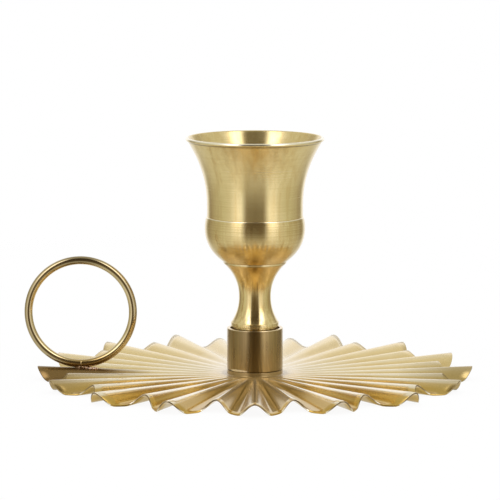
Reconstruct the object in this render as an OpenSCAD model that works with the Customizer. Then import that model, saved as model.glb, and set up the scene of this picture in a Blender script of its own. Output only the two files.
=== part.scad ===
// Candle holder: a flared cup and a bulb bowl on a turned stem, which stands in a collar
// on a pleated drip plate with a finger ring. The origin is the middle of the base, on the
// surface that the plate rests on, with +Z up and the ring towards -X.

/* [Plate] */
// Radius to the tip of a long crest
plate_long_r = 60; // [52:0.5:70]
// Radius to the tip of a short crest
plate_short_r = 52.2; // [46:0.1:52.2]
// Number of pleats, half with long crests and half with short ones
pleat_count = 32; // [16:4:40]
// Height of the plate's upper face between crest and valley
plate_mid_z = 1.7; // [1.7:0.05:2]
// Rise of a crest above that height, halfway between the two tip radii
crest_rise = 1.85; // [1.4:0.05:1.85]
// Depth of a valley as a share of the crest's rise
valley_share = 0.7; // [0.7:0.01:0.7]
// Thickness of the sheet
sheet_t = 0.5; // [0.4:0.05:0.6]
// Radius of the boss in the middle
boss_r = 7.7; // [7:0.1:9]
// Height of the boss's top face
boss_top_z = 2.9; // [2.9:0.1:3.5]
// Radius at which the pleats start
pleat_start_r = 9; // [8.6:0.1:10]

/* [Collar] */
// Outer radius of the collar
collar_r = 7.7; // [7.4:0.1:8]
// Height of the collar's mouth
collar_top_z = 14.5; // [14:0.1:14.6]
// Radius of the mouth's counterbore
mouth_r = 6.85; // [6.7:0.05:7]
// Depth of the mouth's counterbore
mouth_depth = 0.8; // [0.6:0.1:1]
// Radius of the bore that the stem's spigot stands in
socket_r = 5.05; // [5.05:0.05:5.5]
// Depth of that bore below the counterbore
socket_depth = 6.6; // [6:0.1:6.6]

/* [Stem] */
// Radius of the spigot
spigot_r = 5; // [4.6:0.05:5]
// Length of the spigot
spigot_len = 6.3; // [5:0.1:6.3]
// Radius of the foot
foot_r = 6.6; // [6.4:0.1:6.7]
// Height of the foot's underside
foot_bottom_z = 15; // [14.8:0.1:15.2]
// Thickness of the foot's edge
foot_t = 1.1; // [0.8:0.1:1.2]
// Least radius of the stem
stem_waist_r = 4.4; // [4.2:0.05:4.6]
// Height of the stem's waist
stem_waist_z = 23; // [22:0.1:24]
// Radius of the stem's top
stem_top_r = 8.4; // [8:0.1:8.6]
// Height of the stem's top, where the bowl sits
stem_top_z = 32.4; // [32.2:0.1:32.6]

/* [Cup] */
// Radius of the bowl's bottom lip
bowl_lip_r = 8.7; // [8.5:0.1:9]
// Greatest radius of the bowl
bowl_r = 13.8; // [13.7:0.05:14]
// Radius of the bowl's upper edge
bowl_top_r = 13.45; // [13.35:0.05:13.6]
// Height of the bowl's upper edge
bowl_top_z = 45.3; // [45:0.1:45.6]
// Wall of the bowl
bowl_wall = 1; // [0.9:0.05:1]
// Radius of the cup's waist
waist_r = 13.2; // [13.1:0.05:13.25]
// Radius of the cup's lip
lip_r = 19; // [18:0.1:20]
// Height of the cup's lip
cup_top_z = 67.2; // [64:0.1:70]
// Radius of the straight bore that holds the candle
candle_r = 11.5; // [11:0.05:11.5]
// Length of that bore
candle_bore_len = 13; // [12:0.5:14]
// Height of that bore's floor
candle_floor_z = 40.9; // [40.9:0.1:41.2]

/* [Ring] */
// Outer radius of the finger ring
ring_r = 15.5; // [14:0.1:16.5]
// Radius of the ring's wire
wire_r = 1.12; // [0.9:0.02:1.3]
// Distance from the plate's middle to the ring's middle
ring_x = 48; // [44:0.1:50]
// Opening between the wire's ends, in degrees
ring_gap = 1.4; // [1:0.1:4]

/* [Screws] */
// Radius of an M4 thread
thread_r = 2; // [2:0.05:2]
// Radius of a tapped hole for it
tapped_r = 1.7; // [1.65:0.05:1.75]
// Radius of a clearance hole for it
clear_r = 2.2; // [2.15:0.05:2.4]
// Radius of the low head under the plate
low_head_r = 3.8; // [3.4:0.1:4]
// Height of that head
low_head_h = 1.5; // [1.2:0.1:1.5]
// Radius of the cheese head in the cup
cheese_head_r = 3.5; // [3.4:0.1:3.6]
// Height of that head
cheese_head_h = 2.6; // [2.4:0.1:2.8]
// Radius of the washers
washer_r = 4.4; // [4:0.1:4.5]
// Thickness of the washers
washer_t = 0.5; // [0.4:0.1:0.6]

/* [Hidden] */
$fn = 96;

// Plate: the rim's radius swings between the long and the short tips
rim_mid_r = (plate_long_r + plate_short_r) / 2;
rim_swing = (plate_long_r - plate_short_r) / 2;
// Samples round the plate: eight to a pleat
pleat_steps = 8;
samples = pleat_count * pleat_steps;
// Share of the way to the rim at which the valleys are dressed flat to rest on
dress_share = 0.93;
// Rounding of the boss's edge, and the flare of its wall
boss_round = 0.3;
boss_flare = 0.2;

// Collar and stem
seat_z = collar_top_z - mouth_depth;
socket_floor_z = seat_z - socket_depth;
edge_round = 0.2;
neck_r = 6;
foot_top_z = foot_bottom_z + foot_t;
foot_round = 0.35;
stem_spigot_r = 3;
stem_spigot_h = 1.2;

// Bowl and cup
bowl_floor_t = 1.4;
bowl_floor_z = stem_top_z + bowl_floor_t;
bowl_belly_z = 42.2;
bowl_lip_h = 0.5;
slip_fit = 0.05;
plug_r = waist_r - bowl_wall + slip_fit * 4;
plug_bottom_z = candle_floor_z - 0.8;
waist_z = 48;
lip_bead_r = 0.5;
cup_boss_r = 6.8;
cup_boss_top_z = 37.6;
cup_boss_floor_t = 1.4;
recess_r = 5.2;
recess_floor_z = bowl_floor_z + cup_boss_floor_t;
candle_bore_top_z = candle_floor_z + candle_bore_len;

// Screws
slot_w = 1;
slot_depth = 0.9;
plate_screw_len = 4;
cup_screw_len = 12;
thread_runout = 0.6;
plate_washer_z = boss_top_z - sheet_t - washer_t;
cup_head_z = recess_floor_z + washer_t;

// Ring: the wire just clears the crest that it is brazed to
ring_mid_r = ring_r - wire_r;
wire_lift = 0.03;
ring_z = crest_z(ring_x) + wire_lift + ring_r;
bead_root = 0.35;

// Points along a curve from a to d that leaves towards b and arrives from c
curve_steps = 14;
function curve(a, b, c, d) = [
    for (i = [0 : curve_steps])
        let (t = i / curve_steps, s = 1 - t)
        s * s * s * a + 3 * s * s * t * b + 3 * s * t * t * c + t * t * t * d
];

// Points along a round corner with its middle at m, from one angle to another
corner_steps = 6;
function corner(m, r, from, to) = [
    for (i = [0 : corner_steps])
        let (a = from + (to - from) * i / corner_steps)
        [m[0] + r * cos(a), m[1] + r * sin(a)]
];

// The plate's upper face: crests rise and valleys sink in step with the distance from the boss
function rim_r(a) = rim_mid_r + rim_swing * cos(a * pleat_count / 2);
function pleat(a) = max(cos(a * pleat_count), -valley_share);
function pleat_rise(r) = crest_rise * (r - pleat_start_r) / (rim_mid_r - pleat_start_r);
function crest_z(r) = plate_mid_z + pleat_rise(r);
function sheet_point(a, share) =
    let (r = pleat_start_r + share * (rim_r(a) - pleat_start_r))
    [r * cos(a), r * sin(a), plate_mid_z + pleat_rise(r) * pleat(a)];
function turned_point(a, p) = [p[0] * cos(a), p[0] * sin(a), p[1]];
function below(p) = [p[0], p[1], max(0, p[2] - sheet_t)];

// One station round the plate: up the boss's underside, out to the rim and back over the top
boss_top_line = [
    [clear_r, boss_top_z],
    [boss_r - boss_round, boss_top_z],
    [boss_r, boss_top_z - boss_round],
    [boss_r + boss_flare, plate_mid_z + boss_flare]
];
boss_under_line = [
    [clear_r, boss_top_z - sheet_t],
    [boss_r - boss_round - sheet_t, boss_top_z - sheet_t],
    [boss_r - sheet_t, boss_top_z - boss_round - sheet_t],
    [boss_r + boss_flare - sheet_t / 2, plate_mid_z + boss_flare - sheet_t]
];
shares = [0, dress_share, 1];
function station(a) = concat(
    [for (p = boss_top_line) turned_point(a, p)],
    [for (s = shares) sheet_point(a, s)],
    [for (i = [len(shares) - 1 : -1 : 0]) below(sheet_point(a, shares[i]))],
    [for (i = [len(boss_under_line) - 1 : -1 : 0]) turned_point(a, boss_under_line[i])]
);
station_len = len(boss_top_line) + len(boss_under_line) + 2 * len(shares);

module pleated_plate() {
    points = [for (k = [0 : samples - 1]) each station(360 * k / samples)];
    faces = [
        for (k = [0 : samples - 1])
            for (j = [0 : station_len - 1])
                let (
                    k2 = (k + 1) % samples,
                    j2 = (j + 1) % station_len,
                    a = k * station_len + j,
                    b = k2 * station_len + j,
                    c = k2 * station_len + j2,
                    d = k * station_len + j2
                )
                each [[a, b, c], [a, c, d]]
    ];
    color([0.83, 0.67, 0.40]) polyhedron(points, faces);
}

module collar() {
    color([0.74, 0.60, 0.38])
    rotate_extrude() polygon(concat(
        [[tapped_r, boss_top_z], [collar_r, boss_top_z]],
        corner([collar_r - edge_round, collar_top_z - edge_round], edge_round, 0, 90),
        [
            [mouth_r, collar_top_z],
            [mouth_r, seat_z],
            [socket_r, seat_z],
            [socket_r, socket_floor_z],
            [tapped_r, socket_floor_z]
        ]
    ));
}

module screw_slot(head_r) {
    translate([-head_r - slot_w, -slot_w / 2, 0]) cube([2 * (head_r + slot_w), slot_w, slot_depth + slot_w]);
}

module plate_screw() {
    color([0.55, 0.55, 0.56]) difference() {
        union() {
            translate([0, 0, plate_washer_z - low_head_h]) cylinder(r = low_head_r, h = low_head_h);
            translate([0, 0, plate_washer_z]) cylinder(r = thread_r, h = plate_screw_len);
        }
        translate([0, 0, plate_washer_z - low_head_h - slot_w]) screw_slot(low_head_r);
    }
}

module washer(z) {
    translate([0, 0, z]) difference() {
        cylinder(r = washer_r, h = washer_t);
        translate([0, 0, -washer_t]) cylinder(r = clear_r, h = 3 * washer_t);
    }
}

module plate_washer() {
    color([0.62, 0.62, 0.63]) washer(plate_washer_z);
}

module ring_handle() {
    color([0.87, 0.76, 0.52])
    translate([-ring_x, 0, ring_z]) rotate([90, 0, 0]) rotate([0, 0, -90 + ring_gap / 2])
        rotate_extrude(angle = 360 - ring_gap) translate([ring_mid_r, 0]) circle(r = wire_r);
}

// A bead of braze that stands on a crest, rooted in the sheet
module bead(x, y, r) {
    translate([-x, y, crest_z(x)]) intersection() {
        sphere(r = r);
        translate([0, 0, -bead_root]) cylinder(r = 2 * r, h = 3 * r);
    }
}

module handle_braze() {
    color([0.72, 0.55, 0.30]) union() {
        bead(ring_x, 0, 1.3);
        bead(ring_x - 1.5, -0.3, 1);
        bead(ring_x - 3, -0.6, 0.8);
    }
}

module stem() {
    color([0.80, 0.66, 0.43]) difference() {
        rotate_extrude() polygon(concat(
            [[0, seat_z - spigot_len], [spigot_r, seat_z - spigot_len], [spigot_r, seat_z]],
            [[neck_r, seat_z], [neck_r, foot_bottom_z]],
            corner([foot_r - foot_round, foot_bottom_z + foot_round], foot_round, -90, 0),
            corner([foot_r - foot_round, foot_top_z - foot_round], foot_round, 0, 90),
            curve(
                [foot_r - 2 * foot_round, foot_top_z + foot_round],
                [foot_r - 1.1, foot_top_z + 2.1],
                [stem_waist_r, stem_waist_z - 3.2],
                [stem_waist_r, stem_waist_z]
            ),
            curve(
                [stem_waist_r, stem_waist_z],
                [stem_waist_r, stem_waist_z + 1.3],
                [stem_waist_r, stem_top_z - 4],
                [stem_top_r, stem_top_z - edge_round]
            ),
            [
                [stem_top_r, stem_top_z],
                [stem_spigot_r, stem_top_z],
                [stem_spigot_r, stem_top_z + stem_spigot_h],
                [0, stem_top_z + stem_spigot_h]
            ]
        ));
        translate([0, 0, cup_head_z - cup_screw_len - thread_runout])
            cylinder(r = tapped_r, h = cup_screw_len);
    }
}

// The bowl's side from its lip up to its belly, drawn in by the given wall
function bowl_side(wall) = curve(
    [bowl_lip_r - wall, stem_top_z + bowl_lip_h],
    [bowl_lip_r + 2.5 - wall, stem_top_z + bowl_lip_h + 1.9],
    [bowl_r - wall, bowl_belly_z - 4.8],
    [bowl_r - wall, bowl_belly_z]
);

module cup_bowl() {
    inside = [for (p = bowl_side(bowl_wall)) if (p[1] > bowl_floor_z) p];
    color([0.84, 0.70, 0.45])
    rotate_extrude() polygon(concat(
        [[stem_spigot_r + slip_fit, stem_top_z], [bowl_lip_r - edge_round, stem_top_z]],
        corner([bowl_lip_r - edge_round, stem_top_z + edge_round], edge_round, -90, 0),
        bowl_side(0),
        curve(
            [bowl_r, bowl_belly_z],
            [bowl_r, bowl_belly_z + 1.5],
            [bowl_top_r + 0.1, bowl_top_z - 0.8],
            [bowl_top_r, bowl_top_z - edge_round]
        ),
        [
            [bowl_top_r - edge_round / 2, bowl_top_z],
            [plug_r + slip_fit, bowl_top_z],
            [plug_r + slip_fit, bowl_belly_z]
        ],
        [for (i = [len(inside) - 2 : -1 : 0]) inside[i]],
        [[inside[0][0], bowl_floor_z], [stem_spigot_r + slip_fit, bowl_floor_z]]
    ));
}

module flared_cup() {
    color([0.86, 0.73, 0.48])
    rotate_extrude() polygon(concat(
        [
            [clear_r, bowl_floor_z],
            [cup_boss_r, bowl_floor_z],
            [cup_boss_r, cup_boss_top_z],
            [plug_r - edge_round, plug_bottom_z - edge_round],
            [plug_r, plug_bottom_z],
            [plug_r, bowl_top_z],
            [waist_r, bowl_top_z]
        ],
        curve(
            [waist_r, waist_z],
            [waist_r, waist_z + 5.3],
            [lip_r - 5, cup_top_z - 8.3],
            [lip_r - lip_bead_r, cup_top_z - 2 * lip_bead_r]
        ),
        corner([lip_r - lip_bead_r, cup_top_z - lip_bead_r], lip_bead_r, -60, 150),
        curve(
            [lip_r - 2.2 * lip_bead_r, cup_top_z - 2.2 * lip_bead_r],
            [lip_r - 5.5, cup_top_z - 8.3],
            [candle_r, candle_bore_top_z + 4],
            [candle_r, candle_bore_top_z]
        ),
        [
            [candle_r, candle_floor_z],
            [recess_r, candle_floor_z],
            [recess_r, recess_floor_z],
            [clear_r, recess_floor_z]
        ]
    ));
}

module cup_screw() {
    color([0.58, 0.58, 0.59]) difference() {
        union() {
            translate([0, 0, cup_head_z]) cylinder(r = cheese_head_r, h = cheese_head_h);
            translate([0, 0, cup_head_z - cup_screw_len]) cylinder(r = thread_r, h = cup_screw_len);
        }
        translate([0, 0, cup_head_z + cheese_head_h - slot_depth]) screw_slot(cheese_head_r);
    }
}

module cup_washer() {
    color([0.64, 0.64, 0.65]) washer(recess_floor_z);
}

pleated_plate();
collar();
plate_screw();
plate_washer();
ring_handle();
handle_braze();
stem();
cup_bowl();
flared_cup();
cup_screw();
cup_washer();
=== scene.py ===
import math
import bmesh
import bpy
from mathutils import Matrix, Vector, noise


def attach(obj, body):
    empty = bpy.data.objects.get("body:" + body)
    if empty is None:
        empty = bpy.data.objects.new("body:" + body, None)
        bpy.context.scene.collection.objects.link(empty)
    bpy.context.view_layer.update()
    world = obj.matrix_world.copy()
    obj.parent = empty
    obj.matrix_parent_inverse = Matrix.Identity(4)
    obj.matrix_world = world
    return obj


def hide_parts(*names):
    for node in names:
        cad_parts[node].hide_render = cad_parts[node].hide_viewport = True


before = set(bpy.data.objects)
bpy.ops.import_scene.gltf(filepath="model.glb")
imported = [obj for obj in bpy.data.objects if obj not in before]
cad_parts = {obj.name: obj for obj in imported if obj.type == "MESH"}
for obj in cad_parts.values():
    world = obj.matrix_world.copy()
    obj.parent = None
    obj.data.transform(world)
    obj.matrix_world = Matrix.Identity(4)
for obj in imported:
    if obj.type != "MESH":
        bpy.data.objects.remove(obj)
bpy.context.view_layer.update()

mm = 0.001
scene = bpy.context.scene


# A shader socket that sums can be written with
class Wire:
    def __init__(self, shader, socket):
        self.shader = shader
        self.socket = socket

    def also(self, output):
        return Wire(self.shader, self.socket.node.outputs[output])

    def __add__(self, other):
        return self.shader.maths("ADD", self, other)

    def __radd__(self, other):
        return self.shader.maths("ADD", other, self)

    def __sub__(self, other):
        return self.shader.maths("SUBTRACT", self, other)

    def __rsub__(self, other):
        return self.shader.maths("SUBTRACT", other, self)

    def __mul__(self, other):
        return self.shader.maths("MULTIPLY", self, other)

    def __rmul__(self, other):
        return self.shader.maths("MULTIPLY", other, self)


# A node tree, and the one way that nodes are added to it: type, settings, then inputs
class Shader:
    def __init__(self, tree):
        self.tree = tree
        self.tree.nodes.clear()

    def node(self, kind, settings=None, inputs=None, output=0):
        made = self.tree.nodes.new(kind)
        for key, value in (settings or {}).items():
            if key == "stops":
                self.fillRamp(made.color_ramp, value)
            else:
                setattr(made, key, value)
        for key, value in (inputs or {}).items():
            if isinstance(value, Wire):
                self.tree.links.new(value.socket, made.inputs[key])
            else:
                made.inputs[key].default_value = value
        return Wire(self, made.outputs[output]) if made.outputs else made

    def fillRamp(self, ramp, stops):
        while len(ramp.elements) < len(stops):
            ramp.elements.new(0.5)
        for element, (place, level) in zip(ramp.elements, stops):
            element.position = place
            element.color = level if isinstance(level, tuple) else (level, level, level, 1)

    def maths(self, operation, first, second):
        return self.node("ShaderNodeMath", {"operation": operation}, {0: first, 1: second})

    def mixColour(self, factor, first, second):
        return self.node("ShaderNodeMix", {"data_type": "RGBA"}, {0: factor, 6: first, 7: second}, 2)

    # Noise stretched along the axes: scale is the number of features to a metre
    def noise(self, place, scale, detail):
        stretched = self.node("ShaderNodeMapping", {}, {"Vector": place, "Scale": scale})
        return self.node("ShaderNodeTexNoise", {}, {"Vector": stretched, "Scale": 1.0, "Detail": detail})

    def ramp(self, factor, stops):
        return self.node("ShaderNodeValToRGB", {"stops": stops}, {"Fac": factor})


# Stage: camera, lights, world and floor
cameraLook = {
    "distance": 1000,  # mm from the middle of the base
    "elevation": 9.7,  # degrees
    "lens": 260.5,  # mm
    "sensor": 36,  # mm
    "originAt": (255.0, 379.1),  # where the middle of the base falls in the 500 pixel frame
    "pixels": 500,
}


def makeCamera(look):
    data = bpy.data.cameras.new("camera")
    data.lens = look["lens"]
    data.sensor_width = look["sensor"]
    focal = look["lens"] / look["sensor"] * look["pixels"]
    right = math.atan((look["originAt"][0] - look["pixels"] / 2) / focal)
    down = math.atan((look["originAt"][1] - look["pixels"] / 2) / focal)
    tilt = math.radians(look["elevation"])
    camera = bpy.data.objects.new("camera", data)
    camera.location = Vector((0, -math.cos(tilt), math.sin(tilt))) * look["distance"] * mm
    camera.rotation_euler = (math.pi / 2 - tilt + down, 0, right)
    scene.collection.objects.link(camera)
    scene.camera = camera


makeCamera(cameraLook)
scene.view_settings.view_transform = "Standard"

aimHeight = 0.03  # metres, about half way up the holder
# Azimuth and elevation in degrees, seen from there, distance and size in metres, and brightness
softboxes = {
    "leftBox": {"azimuth": -40, "elevation": 50, "distance": 1.4, "size": (0.9, 0.9), "level": 0.6},
    "rightBox": {"azimuth": 40, "elevation": 50, "distance": 1.4, "size": (0.9, 0.9), "level": 0.6},
}


def makeSoftbox(name, look):
    data = bpy.data.lights.new(name, "AREA")
    data.shape = "RECTANGLE"
    data.size, data.size_y = look["size"]
    data.energy = look["level"] * math.pi * look["size"][0] * look["size"][1]
    around = math.radians(look["azimuth"])
    up = math.radians(look["elevation"])
    away = Vector((math.sin(around) * math.cos(up), -math.cos(around) * math.cos(up), math.sin(up)))
    lamp = bpy.data.objects.new(name, data)
    lamp.location = away * look["distance"] + Vector((0, 0, aimHeight))
    lamp.rotation_euler = away.to_track_quat("Z", "Y").to_euler()
    lamp.visible_glossy = False  # metal shows the room's own panels instead
    scene.collection.objects.link(lamp)


for boxName, boxLook in softboxes.items():
    makeSoftbox(boxName, boxLook)

roomLook = {
    "fill": 1.0,  # what lights the floor
    "white": 1.0,  # what the camera sees behind the holder
    "gain": 1.25,  # the levels below are shares of this
    # how bright the room is in metal, from straight behind the holder (0) round to the camera's side (1)
    "round": [
        (0.0, 0.8), (0.05, 0.8), (0.1, 0.4), (0.15, 0.24), (0.23, 0.34), (0.41, 0.42),
        (0.59, 0.5), (0.75, 0.62), (0.84, 0.88), (0.92, 0.88), (0.965, 0.14), (1.0, 0.11),
    ],
    # the same above the horizon, where the two soft boxes are brighter, and where that starts
    "roundHigh": [
        (0.0, 0.8), (0.05, 0.8), (0.12, 0.66), (0.25, 0.58), (0.41, 0.56), (0.59, 0.58),
        (0.72, 0.75), (0.81, 2.6), (0.9, 2.6), (0.95, 0.1), (1.0, 0.07),
    ],
    "high": [(0.6, 0.0), (0.8, 1.0)],
    # how much of a ceiling shows instead, up to straight up (1)
    "ceiling": [(0.0, 0.0), (0.93, 0.0), (0.985, 1.0)],
    "ceilingLevel": 0.56,
    "backdropTop": 0.11,  # how much lower the ceiling comes behind the holder
    # and how much of a lit table top, from straight down (0)
    "table": [(0.0, 0.5), (0.15, 0.8), (0.27, 0.75), (0.4, 0.0), (1.0, 0.0)],
    "tableLevel": 0.6,
}


# The darker parts of the room are the warmer ones: green and blue as shares of red, in the dark,
# and how fast each gains on it with the level
warmth = {"green": (0.72, 0.6), "blue": (0.39, 0.82)}


def warm(level):
    green, blue = (min(1, dark + gain * level) for dark, gain in warmth.values())
    return (level, level * green, level * blue, 1)


def makeRoom(look):
    world = bpy.data.worlds.new("studio")
    scene.world = world
    world.use_nodes = True
    room = Shader(world.node_tree)
    direction = room.node("ShaderNodeTexCoord", {}, {}, "Generated")
    flat = room.node("ShaderNodeVectorMath", {"operation": "MULTIPLY"}, {0: direction, 1: (1, 1, 0)})
    flatWay = room.node("ShaderNodeVectorMath", {"operation": "NORMALIZE"}, {0: flat})
    towardsCamera = 0.5 - 0.5 * room.node("ShaderNodeSeparateXYZ", {}, {0: flatWay}, "Y")
    upwards = 0.5 + 0.5 * room.node("ShaderNodeSeparateXYZ", {}, {0: direction}, "Z")
    low = room.ramp(towardsCamera, [(place, warm(share)) for place, share in look["round"]])
    high = room.ramp(towardsCamera, [(place, warm(share)) for place, share in look["roundHigh"]])
    walls = room.mixColour(room.ramp(upwards, look["high"]), low, high)
    ceiling = room.ramp(upwards + (1 - towardsCamera) * look["backdropTop"], look["ceiling"])
    table = room.ramp(upwards, look["table"])
    wallsAndTable = room.mixColour(table, walls, warm(look["tableLevel"]))
    around = room.mixColour(ceiling, wallsAndTable, warm(look["ceilingLevel"]))
    inMetal = room.node("ShaderNodeVectorMath", {"operation": "SCALE"}, {0: around, 3: look["gain"]})
    lights = room.node("ShaderNodeLightPath")
    seen = lights.also("Is Camera Ray") + lights.also("Is Transmission Ray")
    fill = look["fill"]
    white = look["white"]
    plain = room.mixColour(lights.also("Is Glossy Ray"), (fill, fill, fill, 1), inMetal)
    shown = room.mixColour(seen, plain, (white, white, white, 1))
    background = room.node("ShaderNodeBackground", {}, {"Color": shown, "Strength": 1.0})
    room.node("ShaderNodeOutputWorld", {}, {"Surface": background})


makeRoom(roomLook)

floorLook = {
    "radius": 500,  # mm
    "sides": 96,
    "fadeFrom": 150,  # mm, where the floor starts to fade into the white round it
    "fadeTo": 320,
    "colour": (0.92, 0.92, 0.92, 1),
    "glow": 0.93,  # how much of its white the camera sees without any light, which softens the shadow
}


def makeFloor(look):
    bm = bmesh.new()
    bmesh.ops.create_circle(bm, cap_ends=True, segments=look["sides"], radius=look["radius"] * mm)
    mesh = bpy.data.meshes.new("floor")
    bm.to_mesh(mesh)
    bm.free()
    floor = bpy.data.objects.new("floor", mesh)
    scene.collection.objects.link(floor)
    paint = bpy.data.materials.new("paleFloor")
    paint.use_nodes = True
    shader = Shader(paint.node_tree)
    place = shader.node("ShaderNodeTexCoord", {}, {}, "Object")
    away = shader.node("ShaderNodeVectorMath", {"operation": "LENGTH"}, {0: place}, "Value")
    reach = {0: away, 1: look["fadeFrom"] * mm, 2: look["fadeTo"] * mm, 3: 0.0, 4: 1.0}
    fade = shader.node("ShaderNodeMapRange", {"interpolation_type": "SMOOTHSTEP"}, reach)
    lights = shader.node("ShaderNodeLightPath")
    share = lights.also("Is Camera Ray") * look["glow"]
    matt = shader.node("ShaderNodeBsdfDiffuse", {}, {"Color": look["colour"]})
    glow = shader.node("ShaderNodeEmission", {}, {"Color": (1, 1, 1, 1), "Strength": 1.0})
    clear = shader.node("ShaderNodeBsdfTransparent")
    surface = shader.node("ShaderNodeMixShader", {}, {0: share, 1: matt, 2: glow})
    gone = shader.maths("MAXIMUM", fade, lights.also("Is Glossy Ray"))
    faded = shader.node("ShaderNodeMixShader", {}, {0: gone, 1: surface, 2: clear})
    shader.node("ShaderNodeOutputMaterial", {}, {"Surface": faded})
    mesh.materials.append(paint)


makeFloor(floorLook)
print("stage set")


# What the metals share, where one doesn't say otherwise
anyMetal = {
    "lineDetail": 3.0, "cloudDetail": 2.0, "pitDetail": 4.0, "streakDetail": 2.0,
    "lineShare": 0.4,  # how much the lines count in the mix of the two tones, beside the clouding
    "tones": (0.35, 0.65),  # where in that mix the deep tone ends and the full one starts
    "streakEnds": (0.42, 0.72),
    "bands": [], "rounds": [],
    "metal": 1.0, "lacquer": 0.0, "lacquerRough": 0.2, "lacquerIndex": 1.5,
    "grain": 0.0, "grainTurn": 0.25,
    "bumpHeight": 0.05,  # mm
}


# Metals: a plated finish with turning or drawing lines, soft clouding and fine pits, under clear lacquer
def plating(name, ownLook):
    look = {**anyMetal, **ownLook}
    metal = bpy.data.materials.new(name)
    metal.use_nodes = True
    shader = Shader(metal.node_tree)
    place = shader.node("ShaderNodeTexCoord", {}, {}, "Object")
    lines = shader.noise(place, look["lines"], look["lineDetail"])
    cloud = shader.noise(place, (look["cloud"],) * 3, look["cloudDetail"])
    pits = shader.noise(place, (look["pits"],) * 3, look["pitDetail"])
    toneMix = cloud * (1 - look["lineShare"]) + lines * look["lineShare"]
    deepEnd, fullStart = look["tones"]
    tint = shader.ramp(toneMix, [(deepEnd, 0.0), (fullStart, 1.0)])
    colour = shader.mixColour(tint, look["deep"], look["colour"])
    if "streaks" in look:
        streakStart, streakFull = look["streakEnds"]
        streaks = shader.noise(place, look["streaks"], look["streakDetail"])
        share = shader.ramp(streaks, [(streakStart, 0.0), (streakFull, look["streaky"])])
        colour = shader.mixColour(share, colour, look["streak"])
    if "pleats" in look:
        # the tones by place below include painted highlights, painted shade and painted reflections
        colour = pleatTint(shader, place, colour, look["pleats"])
    colour = bandTint(shader, place, colour, look["bands"])
    colour = roundTint(shader, place, colour, look["rounds"])
    rough = look["rough"] + (lines - 0.5) * look["lineRough"] + (cloud - 0.5) * look["cloudRough"]
    height = lines * look["lineDepth"] + pits * look["pitDepth"]
    relief = {"Strength": look["bump"], "Distance": look["bumpHeight"] * mm, "Height": height}
    bump = shader.node("ShaderNodeBump", {}, relief)
    metallic = look["metal"]
    if "haze" in look:
        metallic = metallic - roundShare(shader, place, look["haze"])
    finish = {
        "Base Color": colour, "Metallic": metallic, "Roughness": rough, "Normal": bump,
        "Anisotropic": look["grain"], "Anisotropic Rotation": look["grainTurn"],
        "Coat Weight": look["lacquer"], "Coat Roughness": look["lacquerRough"],
        "Coat IOR": look["lacquerIndex"],
    }
    surface = shader.node("ShaderNodeBsdfPrincipled", {}, finish)
    shader.node("ShaderNodeOutputMaterial", {}, {"Surface": surface})
    return metal


# Bands by height: painted highlights on edges that catch the light, and painted shade on the collar's foot;
# each band has the heights where it fades in, and its colour
def bandTint(shader, place, colour, bands):
    height = shader.node("ShaderNodeSeparateXYZ", {}, {0: place}, "Z")
    for start, full, bright in bands:
        span = {0: height, 1: start * mm, 2: full * mm, 3: 0.0, 4: 1.0}
        share = shader.node("ShaderNodeMapRange", {}, span)
        colour = shader.mixColour(share, colour, bright)
    return colour


# Tones round a point or an axis: the share of the tone at a near and at a far distance, in millimetres
def roundTint(shader, place, colour, rounds):
    for look in rounds:
        colour = shader.mixColour(roundShare(shader, place, look), colour, look["tone"])
    return colour


# One share up to the near distance from the middle, another past the far one, and a slope between;
# "beyond" keeps it to what is further than that from the stem's axis
def roundShare(shader, place, look):
    middle = tuple(part * mm for part in look["middle"])
    offset = shader.node("ShaderNodeVectorMath", {"operation": "SUBTRACT"}, {0: place, 1: middle})
    near, nearShare = look["near"]
    far, farShare = look["far"]
    distance = farOut(shader, offset, look["stretch"])
    span = {0: distance, 1: near * mm, 2: far * mm, 3: nearShare, 4: farShare}
    share = shader.node("ShaderNodeMapRange", {}, span)
    if "beyond" in look:
        share = share * shader.maths("GREATER_THAN", farOut(shader, place, (1, 1, 0)), look["beyond"] * mm)
    return share


# How far out a place is, when each axis counts for its stretch
def farOut(shader, place, stretch):
    across = shader.node("ShaderNodeVectorMath", {"operation": "MULTIPLY"}, {0: place, 1: stretch})
    return shader.node("ShaderNodeVectorMath", {"operation": "LENGTH"}, {0: across}, "Value")


# Pleats: the valleys get a darker amber, the crests a painted highlight, and the cut edge a painted
# highlight in the valleys and painted shade over them
def pleatTint(shader, place, colour, look):
    height = shader.node("ShaderNodeSeparateXYZ", {}, {0: place}, "Z")
    climb = (farOut(shader, place, (1, 1, 0)) - look["startR"] * mm) * look["slope"]
    rise = shader.maths("MAXIMUM", climb, look["leastRise"] * mm)
    level = 0.5 + 0.5 * shader.maths("DIVIDE", height - look["middleZ"] * mm, rise)
    valleyAndCrestReach = roundShare(shader, place, look["valleyAndCrestReach"])
    valleyDepth = roundShare(shader, place, look["valleyRound"])
    valleyShare = shader.ramp(level, look["valleyShare"]) * valleyDepth * valleyAndCrestReach
    colour = shader.mixColour(valleyShare, colour, look["valley"])
    colour = roundTint(shader, place, colour, look["rounds"])
    crestShare = shader.ramp(level, look["crestShare"]) * valleyAndCrestReach * roundShare(shader, place, look["crestHighlightReach"])
    colour = shader.mixColour(crestShare, colour, look["crest"])
    cutTone = shader.mixColour(shader.ramp(level, look["edgeShare"]), look["edgeLow"], look["edgeHigh"])
    cutEdge = shader.node("ShaderNodeAttribute", {"attribute_name": "cutEdge"}, {}, "Fac")
    return shader.mixColour(cutEdge, colour, cutTone)


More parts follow.
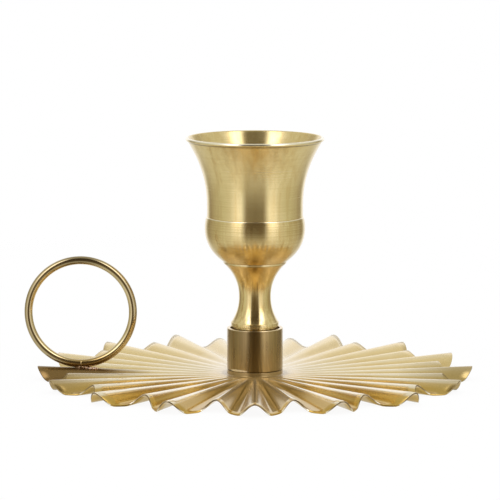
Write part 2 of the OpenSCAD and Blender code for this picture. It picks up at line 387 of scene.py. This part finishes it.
turnedFinish = {  # what the cup, the bowl and the stem share
    "pits": 3000, "lacquer": 0.5, "lineRough": 0.1, "cloudRough": 0.05,
    "lineDepth": 1.0, "pitDepth": 0.05, "bump": 0.14,
}
cupBrass = plating("cupBrass", {
    **turnedFinish,
    "colour": (0.89, 0.73, 0.39, 1), "deep": (0.77, 0.6, 0.28, 1), "lineShare": 0.52,
    "lines": (12, 12, 3500), "cloud": 120, "grain": 0.93, "rough": 0.25,
    "streaks": (900, 900, 10), "streaky": 0.5, "streak": (0.69, 0.48, 0.18, 1),
    "rounds": [
        {  # a painted highlight on the lip's outside
            "middle": (0, 0, 67.2), "stretch": (0, 0, 1), "near": (0.4, 1), "far": (0.6, 0),
            "beyond": 18.3, "tone": (0.98, 0.9, 0.72, 1),
        },
        {  # over a painted line of shade under the bead
            "middle": (0, 0, 66.15), "stretch": (0, 0, 1), "near": (0.1, 0.75), "far": (0.3, 0),
            "beyond": 18.0, "tone": (0.3, 0.22, 0.1, 1),
        },
    ],
})
bowlBrass = plating("bowlBrass", {
    **turnedFinish,
    "colour": (0.9, 0.74, 0.4, 1), "deep": (0.7, 0.53, 0.23, 1), "lineShare": 0.62,
    "lines": (12, 12, 3500), "cloud": 120, "grain": 0.95, "rough": 0.21,
    "streaks": (1000, 1000, 10), "streaky": 0.6, "streak": (0.66, 0.46, 0.17, 1),
    # painted highlights on its upper and its lower edge
    "bands": [(45.0, 45.15, (1, 0.93, 0.74, 1)), (32.9, 32.75, (0.98, 0.88, 0.6, 1))],
    "rounds": [
        {  # painted amber reflection of the plate towards the stem
            "middle": (0, 0, 34.5), "stretch": (0, 0, 1), "near": (1.2, 0.5), "far": (4, 0),
            "tone": (0.5, 0.33, 0.1, 1),
        },
    ],
})
stemBrass = plating("stemBrass", {
    **turnedFinish,
    "colour": (0.88, 0.72, 0.38, 1), "deep": (0.80, 0.63, 0.30, 1),
    "lines": (12, 12, 3000), "cloud": 150, "grain": 0.93, "rough": 0.17,
    "streaks": (1500, 1500, 12), "streaky": 0.7, "streak": (0.58, 0.39, 0.13, 1),
    "rounds": [
        {  # painted amber shade under the bowl
            "middle": (0, 0, 32.4), "stretch": (0, 0, 1), "near": (1, 0.75), "far": (6, 0),
            "tone": (0.54, 0.35, 0.1, 1),
        },
    ],
})
collarBrass = plating("collarBrass", {
    "colour": (0.45, 0.32, 0.135, 1), "deep": (0.28, 0.19, 0.075, 1), "lineShare": 0.8,
    "lines": (1100, 1100, 50), "cloud": 160, "pits": 2500, "grain": 0.8, "lacquer": 0.5,
    "rough": 0.29, "lineRough": 0.1, "cloudRough": 0.06, "lineDepth": 1.0, "pitDepth": 0.3, "bump": 0.12,
    "streaks": (1400, 1400, 30), "streaky": 0.8, "streak": (0.28, 0.19, 0.07, 1),
    # a painted highlight on its mouth, and painted shade on its foot at the seam
    "bands": [(14.28, 14.4, (0.86, 0.7, 0.46, 1)), (3.25, 3.15, (0.14, 0.09, 0.03, 1))],
    "rounds": [
        {  # a painted highlight on one side of its foot
            "middle": (-4.6, -6.2, 3.3), "stretch": (0.3, 0.3, 2.4), "near": (0.7, 1), "far": (1.0, 0),
            "tone": (1.0, 0.9, 0.72, 1),
        },
        {  # and a painted dark reflection down the front of its side
            "middle": (-2.2, -7.4, 0), "stretch": (1, 1, 0), "near": (1.4, 0.55), "far": (4.4, 0),
            "tone": (0.16, 0.105, 0.04, 1),
        },
    ],
})
plateBrass = plating("plateBrass", {
    "colour": (0.86, 0.69, 0.38, 1), "deep": (0.82, 0.64, 0.33, 1),
    "lines": (300, 300, 300), "cloud": 60, "pits": 2000, "lacquer": 0.3, "metal": 0.78,
    # the lacquer is a little milky behind the boss
    "haze": {"middle": (0, 18, 0), "stretch": (0.6, 0.8, 0), "near": (12, 0.3), "far": (36, 0)},
    "rough": 0.18, "lineRough": 0.06, "cloudRough": 0.05, "lineDepth": 0.3, "pitDepth": 0.3, "bump": 0.1,
    "pleats": {
        # where a pleat's crest and valley are: half its height is the slope times the way out
        "middleZ": 1.7, "startR": 8.6, "slope": 0.037, "leastRise": 0.15,
        "valley": (0.62, 0.42, 0.10, 1), "valleyShare": [(0.4, 1.0), (0.76, 0.0)],
        # the valleys get deeper in tone on the way out
        "valleyRound": {"middle": (0, 0, 0), "stretch": (1, 1, 0), "near": (10, 0.4), "far": (24, 1)},
        # the valleys' tone and the crests' painted highlight are plainer at the back
        "valleyAndCrestReach": {"middle": (0, -60, 0), "stretch": (0.4, 1, 0), "near": (50, 1), "far": (86, 0.25)},
        "rounds": [
            {  # a painted amber reflection in front
                "middle": (-6, -44, 0), "stretch": (0.34, 1, 0), "near": (12, 0.88), "far": (46, 0),
                "tone": (0.54, 0.34, 0.06, 1),
            },
            {  # paler round the boss: a painted reflection of the backdrop
                "middle": (0, 8, 0), "stretch": (0.85, 0.9, 0), "near": (9, 0.8), "far": (27, 0),
                "tone": (0.94, 0.84, 0.68, 1),
            },
            {  # a painted deep amber reflection of the collar in front of it
                "middle": (0, -13, 0), "stretch": (0.8, 1, 0), "near": (6, 0.75), "far": (22, 0),
                "tone": (0.7, 0.46, 0.13, 1),
            },
        ],
        # a painted highlight along the crests
        "crest": (1, 0.92, 0.78, 1), "crestShare": [(0.74, 0.0), (0.9, 0.85)],
        # the painted crest highlight is weaker right in front of the collar
        "crestHighlightReach": {"middle": (0, -38, 0), "stretch": (1.5, 0.4, 0), "near": (8, 0.25), "far": (24, 1)},
        # the sheet's cut edge has a painted highlight in the valleys and painted shade over them
        "edgeLow": (0.97, 0.9, 0.75, 1), "edgeHigh": (0.27, 0.185, 0.09, 1),
        "edgeShare": [(0.2, 0.0), (0.5, 1.0)],
    },
    "rounds": [
        {  # brown on the boss
            "middle": (0, 0, 0), "stretch": (1, 1, 0), "near": (7.95, 1), "far": (9.6, 0),
            "tone": (0.34, 0.22, 0.075, 1),
        },
        {  # darker on the outermost tips, left
            "middle": (-58, -14, 0), "stretch": (1, 0.55, 0), "near": (6, 0.85), "far": (20, 0),
            "tone": (0.38, 0.26, 0.09, 1),
        },
        {  # and right
            "middle": (60, -8, 0), "stretch": (0.9, 0.6, 0), "near": (6, 0.8), "far": (20, 0),
            "tone": (0.4, 0.29, 0.11, 1),
        },
        {  # painted shade in the valley under the ring, and browning from the heat where it is brazed on
            "middle": (-50, -3, 0), "stretch": (0.5, 1.5, 0), "near": (5, 0.95), "far": (12, 0),
            "tone": (0.2, 0.115, 0.03, 1),
        },
    ],
})
wireBrass = plating("wireBrass", {
    "colour": (0.73, 0.6, 0.35, 1), "deep": (0.54, 0.42, 0.22, 1),
    "lines": (500, 3000, 500), "cloud": 150, "pits": 2500, "lacquer": 0.4,
    "rough": 0.13, "lineRough": 0.08, "cloudRough": 0.05, "lineDepth": 0.6, "pitDepth": 0.3, "bump": 0.15,
    "rounds": [
        {  # the outside of the ring is duller
            "middle": (-48, 0, 18.76), "stretch": (1, 0, 1), "near": (13.8, 0), "far": (14.9, 0.6),
            "tone": (0.42, 0.33, 0.19, 1),
        },
        {  # browned by the heat at the joint
            "middle": (-46, 0, 4.4), "stretch": (1, 0, 1), "near": (2.5, 0.85), "far": (10, 0),
            "tone": (0.42, 0.27, 0.09, 1),
        },
        {  # and dark at the top
            "middle": (-48, 0, 36.5), "stretch": (0.55, 0, 1), "near": (3, 0.85), "far": (6, 0),
            "tone": (0.32, 0.25, 0.14, 1),
        },
    ],
})
brazeMetal = plating("brazeMetal", {
    "colour": (0.95, 0.74, 0.62, 1), "deep": (0.55, 0.36, 0.25, 1),
    "lines": (900, 900, 900), "cloud": 700, "pits": 2600,
    "rough": 0.3, "lineRough": 0.2, "cloudRough": 0.2, "lineDepth": 1.0, "pitDepth": 1.0, "bump": 0.6,
    "rounds": [
        {  # painted shade where it fills the corner under the ring
            "middle": (-48.3, 0, 3.3), "stretch": (1, 1, 0), "near": (1.6, 0.95), "far": (3, 0),
            "tone": (0.2, 0.12, 0.06, 1),
        },
    ],
})
zincSteel = plating("zincSteel", {
    "colour": (0.62, 0.62, 0.63, 1), "deep": (0.45, 0.45, 0.47, 1),
    "lines": (700, 700, 700), "cloud": 300, "pits": 3000,
    "rough": 0.32, "lineRough": 0.1, "cloudRough": 0.1, "lineDepth": 0.5, "pitDepth": 0.6, "bump": 0.3,
})
print("metals mixed")


# Outlines are lists of (radius, height) in millimetres. A curve runs from a to d, and b and c pull it
def curve(a, b, c, d, steps):
    points = []
    for step in range(steps + 1):
        t = step / steps
        weights = ((1 - t) ** 3, 3 * t * (1 - t) ** 2, 3 * t * t * (1 - t), t ** 3)
        points.append(tuple(sum(w * p[i] for w, p in zip(weights, (a, b, c, d))) for i in (0, 1)))
    return points


# Part of a circle, from one angle to another
def corner(middle, radius, start, end, steps):
    points = []
    for step in range(steps + 1):
        angle = math.radians(start + (end - start) * step / steps)
        points.append((middle[0] + radius * math.cos(angle), middle[1] + radius * math.sin(angle)))
    return points


weldWithin = 0.002  # mm: points closer than this become one


# Spins an outline round the axis of the stem
def turned(outline, closed=True, steps=180):
    bm = bmesh.new()
    verts = [bm.verts.new((radius * mm, 0, height * mm)) for radius, height in outline]
    edges = [bm.edges.new(pair) for pair in zip(verts, verts[1:])]
    if closed:
        edges.append(bm.edges.new((verts[-1], verts[0])))
    bmesh.ops.spin(
        bm, geom=verts + edges, axis=(0, 0, 1), cent=(0, 0, 0),
        angle=math.tau, steps=steps, use_merge=True,
    )
    bmesh.ops.remove_doubles(bm, verts=bm.verts, dist=weldWithin * mm)
    bmesh.ops.recalc_face_normals(bm, faces=bm.faces)
    return bm


# Makes the object, smooth but for edges sharper than an angle, and tells the frame what it rides on
def dress(name, bm, metal, body, nodes, sharp=34):
    for edge in bm.edges:
        if len(edge.link_faces) == 2:
            edge.smooth = edge.calc_face_angle(0) < math.radians(sharp)
    for face in bm.faces:
        face.smooth = True
    mesh = bpy.data.meshes.new(name)
    bm.to_mesh(mesh)
    bm.free()
    mesh.materials.append(metal)
    piece = bpy.data.objects.new(name, mesh)
    scene.collection.objects.link(piece)
    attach(piece, body)
    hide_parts(*nodes)
    return piece


# Flared cup: candle bore, flared mouth and thin rolled lip, plugged into the bowl
flaredCup = {
    "waistR": 13.2, "waistZ": 48, "shoulderZ": 45.3, "plugR": 12.4, "plugZ": 40.1,
    "candleR": 11.5, "floorZ": 40.9, "boreTop": 53.9, "lipR": 19, "topZ": 67.2, "bead": 0.5,
    "bossR": 6.8, "bossTopZ": 37.6, "bottomZ": 33.8, "recessR": 5.2, "recessZ": 35.2, "holeR": 2.2,
    # how the flare leaves the waist and nears the lip, and the same inside from the bore
    "waistPull": 5.3, "lipPull": (5, 8.3), "borePull": 3, "insidePull": (5.5, 8.3),
    "insideStart": (1.87, 0.5),  # where the inside leaves the rolled edge, in bead radii
    "bevel": 0.2, "shoulderEdge": 0.1, "floorEdge": 0.3,
}


def makeFlaredCup(c):
    lip, top, bead = c["lipR"], c["topZ"], c["bead"]
    bevel, shoulder = c["bevel"], c["shoulderEdge"]
    outline = [
        (c["holeR"], c["bottomZ"]), (c["bossR"], c["bottomZ"]), (c["bossR"], c["bossTopZ"]),
        (c["plugR"] - bevel, c["plugZ"] - bevel), (c["plugR"], c["plugZ"]), (c["plugR"], c["shoulderZ"]),
        (c["waistR"] - shoulder, c["shoulderZ"]), (c["waistR"], c["shoulderZ"] + shoulder),
    ]
    outline += curve(
        (c["waistR"], c["waistZ"]), (c["waistR"], c["waistZ"] + c["waistPull"]),
        (lip - c["lipPull"][0], top - c["lipPull"][1]), (lip - bead, top - 2 * bead), steps=36,
    )
    outline += corner((lip - bead, top - bead), bead, -60, 145, steps=12)
    outline += curve(
        (lip - c["insideStart"][0] * bead, top - c["insideStart"][1] * bead),
        (lip - c["insidePull"][0], top - c["insidePull"][1]),
        (c["candleR"], c["boreTop"] + c["borePull"]), (c["candleR"], c["boreTop"]), steps=30,
    )
    outline += [
        (c["candleR"], c["floorZ"] + c["floorEdge"]), (c["candleR"] - c["floorEdge"], c["floorZ"]),
        (c["recessR"] + bevel, c["floorZ"]), (c["recessR"], c["floorZ"] - bevel),
        (c["recessR"], c["recessZ"]), (c["holeR"], c["recessZ"]),
    ]
    dress("flaredCup", turned(outline), cupBrass, "cup", ["flared_cup"])


makeFlaredCup(flaredCup)

# Bowl: its upper edge catches the light as a thin line round the cup
bowl = {
    "lipR": 8.7, "lipZ": 32.4, "lipH": 0.5, "bellyR": 13.8, "bellyZ": 42.2, "topR": 13.45, "topZ": 45.3,
    "wall": 1, "floorZ": 33.8, "holeR": 3.05, "mouthR": 12.45, "edge": 0.18,
    # how the bulb leaves its lip, nears its belly, goes on above it and nears its upper edge
    "lipPull": (2.5, 1.9), "bellyPull": 4.8, "abovePull": 1.5, "topPull": (0.1, 0.8),
}


def bowlSide(b, wall):
    out, up = b["lipPull"]
    return curve(
        (b["lipR"] - wall, b["lipZ"] + b["lipH"]), (b["lipR"] + out - wall, b["lipZ"] + b["lipH"] + up),
        (b["bellyR"] - wall, b["bellyZ"] - b["bellyPull"]), (b["bellyR"] - wall, b["bellyZ"]), steps=30,
    )


def makeBowl(b):
    edge = b["edge"]
    inside = [point for point in bowlSide(b, b["wall"]) if point[1] > b["floorZ"]]
    outline = [(b["holeR"], b["lipZ"]), (b["lipR"] - edge, b["lipZ"])]
    outline += corner((b["lipR"] - edge, b["lipZ"] + edge), edge, -90, 0, steps=5)
    outline += bowlSide(b, 0)
    outline += curve(
        (b["bellyR"], b["bellyZ"]), (b["bellyR"], b["bellyZ"] + b["abovePull"]),
        (b["topR"] + b["topPull"][0], b["topZ"] - b["topPull"][1]), (b["topR"], b["topZ"] - edge), steps=12,
    )[1:]
    outline += corner((b["topR"] - edge, b["topZ"] - edge), edge, 0, 90, steps=6)[1:]
    outline += [(b["mouthR"], b["topZ"]), (b["mouthR"], b["bellyZ"])]
    outline += inside[-2::-1]
    outline += [(inside[0][0], b["floorZ"]), (b["holeR"], b["floorZ"])]
    dress("bowl", turned(outline), bowlBrass, "cup", ["cup_bowl"])


makeBowl(bowl)

# Stem: a foot, one sweep in to the waist and another out under the bowl
stem = {
    "spigotR": 5, "spigotZ": 7.4, "seatZ": 13.7, "neckR": 6, "footR": 6.6, "footZ": 15, "footH": 1.1,
    "waistR": 4.4, "waistZ": 23, "topR": 8.4, "topZ": 32.4,
    "pinR": 3, "pinH": 1.2, "tapR": 1.7, "tapZ": 23.1, "tapPoint": 0.8,
    "spigotEdge": 0.4, "footEdge": 0.15, "footTopEdge": 0.12, "topEdge": 0.15,
    "sweepLift": 0.02,  # the sweep starts just over the foot's corner
    "footPull": (0.85, 1.1), "belowWaist": 3.5, "aboveWaist": 1.3, "topPull": 4,
}


def makeStem(s):
    foot = s["footZ"] + s["footH"]
    end, low, high = s["spigotEdge"], s["footEdge"], s["footTopEdge"]
    outline = [(0, s["spigotZ"])]
    outline += corner((s["spigotR"] - end, s["spigotZ"] + end), end, -90, 0, steps=3)
    outline += [(s["spigotR"], s["seatZ"]), (s["neckR"], s["seatZ"]), (s["neckR"], s["footZ"])]
    outline += corner((s["footR"] - low, s["footZ"] + low), low, -90, 0, steps=4)
    outline += corner((s["footR"] - high, foot - high), high, 0, 80, steps=4)
    outline += curve(
        (s["footR"] - high, foot + s["sweepLift"]),
        (s["footR"] - s["footPull"][0], foot + s["footPull"][1]),
        (s["waistR"], foot + s["belowWaist"]), (s["waistR"], s["waistZ"]), steps=30,
    )
    outline += curve(
        (s["waistR"], s["waistZ"]), (s["waistR"], s["waistZ"] + s["aboveWaist"]),
        (s["waistR"], s["topZ"] - s["topPull"]), (s["topR"], s["topZ"] - s["topEdge"]), steps=30,
    )[1:]
    outline += [
        (s["topR"], s["topZ"]), (s["pinR"], s["topZ"]), (s["pinR"], s["topZ"] + s["pinH"]),
        (s["tapR"], s["topZ"] + s["pinH"]), (s["tapR"], s["tapZ"]), (0, s["tapZ"] - s["tapPoint"]),
    ]
    dress("turnedStem", turned(outline, closed=False), stemBrass, "cup", ["stem"])


makeStem(stem)

# Collar: a tube with a counterbored mouth, open to the screw below
collar = {
    "outerR": 7.7, "bottomZ": 2.9, "topZ": 14.5, "mouthR": 6.85, "seatZ": 13.7,
    "boreR": 5.05, "boreZ": 7.1, "tapR": 1.7, "edge": 0.18, "foot": 0.3, "mouthEdge": 0.08,
}


def makeCollar(c):
    foot, edge, mouth = c["foot"], c["edge"], c["mouthEdge"]
    outline = [(c["tapR"], c["bottomZ"])]
    outline += corner((c["outerR"] - foot, c["bottomZ"] + foot), foot, -90, 0, steps=5)
    outline += corner((c["outerR"] - edge, c["topZ"] - edge), edge, 0, 90, steps=5)
    outline += [
        (c["mouthR"] + mouth, c["topZ"]), (c["mouthR"], c["topZ"] - mouth), (c["mouthR"], c["seatZ"]),
        (c["boreR"], c["seatZ"]), (c["boreR"], c["boreZ"]), (c["tapR"], c["boreZ"]),
    ]
    dress("collarSleeve", turned(outline), collarBrass, "base", ["collar"])


makeCollar(collar)
print("turned pieces made")

# Pleated plate: a low boss, and pleats that grow from it to a rim of long and short crests
plate = {
    "longR": 60, "shortR": 52.2, "pleats": 32, "steps": 20, "midZ": 1.7, "rise": 1.85, "startR": 8.6,
    "sheet": 0.45, "holeR": 2.2, "bossR": 7.7, "bossZ": 2.9, "bossEdge": 0.12, "rings": 16, "rimEdge": 0.05,
    "filletZ": 0.3, "filletPull": 0.05, "filletReach": 0.7,
    "soften": -0.25,  # the wave flattens out below this share of a crest's height
    "valley": 0.45,  # and goes this much further down
    "rimFrom": 40, "rimAngle": 60,  # the rim's edges are past this radius, and sharper than this
    "cutFrom": 45, "cutFacing": 0.8,  # and the cut faces past this one, and turned outwards
}


# The wave across a pleat: a plain crest, and a valley that flattens out
def wave(p, angle):
    height = math.cos(angle * p["pleats"])
    if height > p["soften"]:
        return height
    below = (p["soften"] - height) / (1 + p["soften"])
    return p["soften"] - p["valley"] * math.sin(below * math.pi / 2)


def makePlate(p):
    middleR = (p["longR"] + p["shortR"]) / 2
    swing = (p["longR"] - p["shortR"]) / 2
    outline = [(p["holeR"], p["bossZ"])]
    bossEdge, pull = p["bossEdge"], p["filletPull"]
    outline += corner((p["bossR"] - bossEdge, p["bossZ"] - bossEdge), bossEdge, 90, 0, steps=4)
    outline += curve(
        (p["bossR"], p["midZ"] + p["filletZ"]), (p["bossR"] + pull, p["midZ"] + pull),
        (p["startR"] - p["filletReach"], p["midZ"]), (p["startR"], p["midZ"]), steps=5,
    )
    for ring in range(1, p["rings"] + 1):
        outline.append((p["startR"] + (middleR - p["startR"]) * ring / p["rings"], p["midZ"]))
    bm = turned(outline, closed=False, steps=p["pleats"] * p["steps"])
    for vert in bm.verts:
        radius = vert.co.xy.length / mm
        share = (radius - p["startR"]) / (middleR - p["startR"])
        if share <= 0:
            continue
        angle = math.atan2(vert.co.y, vert.co.x)
        rim = middleR + swing * math.cos(angle * p["pleats"] / 2)
        reach = p["startR"] + share * (rim - p["startR"])
        rise = p["rise"] * (reach - p["startR"]) / (middleR - p["startR"])
        height = p["midZ"] + rise * wave(p, angle)
        vert.co = Vector((reach * math.cos(angle), reach * math.sin(angle), height)) * mm
    bm.normal_update()
    if sum(face.normal.z for face in bm.faces) < 0:
        bmesh.ops.reverse_faces(bm, faces=bm.faces)
    bmesh.ops.solidify(bm, geom=bm.faces, thickness=p["sheet"] * mm)
    bmesh.ops.recalc_face_normals(bm, faces=bm.faces)
    rimEdges = [
        edge for edge in bm.edges
        if edge.calc_face_angle(0) > math.radians(p["rimAngle"])
        and edge.verts[0].co.xy.length > p["rimFrom"] * mm
    ]
    bmesh.ops.bevel(
        bm, geom=rimEdges, offset=p["rimEdge"] * mm, segments=1, profile=0.5, affect="EDGES", material=-1
    )
    for vert in bm.verts:
        vert.co.z = max(vert.co.z, 0)  # the valleys rest flat on the table
    bm.normal_update()
    cutEdge = bm.faces.layers.float.new("cutEdge")
    for face in bm.faces:
        outwards = face.calc_center_median().xy.to_3d()
        facing = face.normal.dot(outwards.normalized())
        if outwards.length > p["cutFrom"] * mm and facing > p["cutFacing"]:
            face[cutEdge] = 1.0
    dress("pleatedPlate", bm, plateBrass, "base", ["pleated_plate"], sharp=50)


makePlate(plate)
print("plate pressed")

# Finger ring: round wire bent into a circle, its ends butted at the bottom
ring = {
    "middleR": 14.38, "wireR": 1.12, "x": -48, "z": 18.76,
    "gap": 0.3,  # degrees between its ends
    "sides": 28, "steps": 200, "edge": 0.05,
}


def makeRing(r):
    bm = bmesh.new()
    bmesh.ops.create_circle(bm, cap_ends=False, segments=r["sides"], radius=r["wireR"] * mm)
    bmesh.ops.translate(bm, vec=Vector((r["middleR"], 0, 0)) * mm, verts=bm.verts)
    firstEnd = math.radians(90 - r["gap"] / 2)
    bmesh.ops.rotate(bm, cent=(0, 0, 0), matrix=Matrix.Rotation(firstEnd, 3, "Y"), verts=bm.verts)
    bmesh.ops.spin(
        bm, geom=bm.verts[:] + bm.edges[:], axis=(0, 1, 0), cent=(0, 0, 0),
        angle=-math.radians(360 - r["gap"]), steps=r["steps"],
    )
    openEdges = [edge for edge in bm.edges if edge.is_boundary]
    ends = bmesh.ops.holes_fill(bm, edges=openEdges, sides=0)["faces"]
    bmesh.ops.recalc_face_normals(bm, faces=bm.faces)
    endEdges = list({edge for face in ends for edge in face.edges})
    bmesh.ops.bevel(
        bm, geom=endEdges, offset=r["edge"] * mm, segments=2, profile=0.5, affect="EDGES", material=-1
    )
    bmesh.ops.translate(bm, vec=Vector((r["x"], 0, r["z"])) * mm, verts=bm.verts)
    dress("fingerRing", bm, wireBrass, "base", ["ring_handle"], sharp=40)


makeRing(ring)

# Braze: beads that ran together round the ring's ends
braze = {
    "beads": [  # x, y, z, radius and height share, in mm from the middle of the base
        (-48.1, 0, 3.3, 1.2, 0.8),
        (-47.0, -0.25, 3.25, 0.9, 0.8),
        (-46.0, -0.35, 3.2, 0.6, 0.7),
        (-45.2, -0.7, 3.1, 0.55, 0.8),
        (-44.2, -0.55, 3.05, 0.62, 0.8),
        (-43.5, -0.3, 3.0, 0.4, 0.7),
        (-49.0, 0.2, 3.3, 0.8, 0.6),
    ],
    "rough": 0.1,  # how lumpy they are, as a share of the radius
    "lumps": 1.6,  # lumps to a millimetre
    "voxel": 0.12,
    "settle": 0.5, "settles": 5,
}


def makeBraze(b):
    bm = bmesh.new()
    for x, y, z, radius, height in b["beads"]:
        bead = bmesh.ops.create_icosphere(bm, subdivisions=3, radius=radius * mm)["verts"]
        for vert in bead:
            lump = noise.noise(vert.co / mm * b["lumps"] + Vector((x, y, z)))
            vert.co *= 1 + b["rough"] * lump
        bmesh.ops.scale(bm, vec=(1, 1, height), verts=bead)
        bmesh.ops.translate(bm, vec=Vector((x, y, z)) * mm, verts=bead)
    piece = dress("braze", bm, brazeMetal, "base", ["handle_braze"], sharp=180)
    melt = piece.modifiers.new("melt", "REMESH")
    melt.mode = "VOXEL"
    melt.voxel_size = b["voxel"] * mm
    melt.use_smooth_shade = True
    settle = piece.modifiers.new("settle", "SMOOTH")
    settle.factor = b["settle"]
    settle.iterations = b["settles"]


makeBraze(braze)
print("ring brazed on")

# The screws and washers keep their own shapes, in zinc-plated steel
for nodeName in ("plate_screw", "plate_washer", "cup_screw", "cup_washer"):
    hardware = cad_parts[nodeName]
    hardware.data.materials.clear()
    hardware.data.materials.append(zincSteel)
print("screws and washers plated")

bpy.context.view_layer.update()
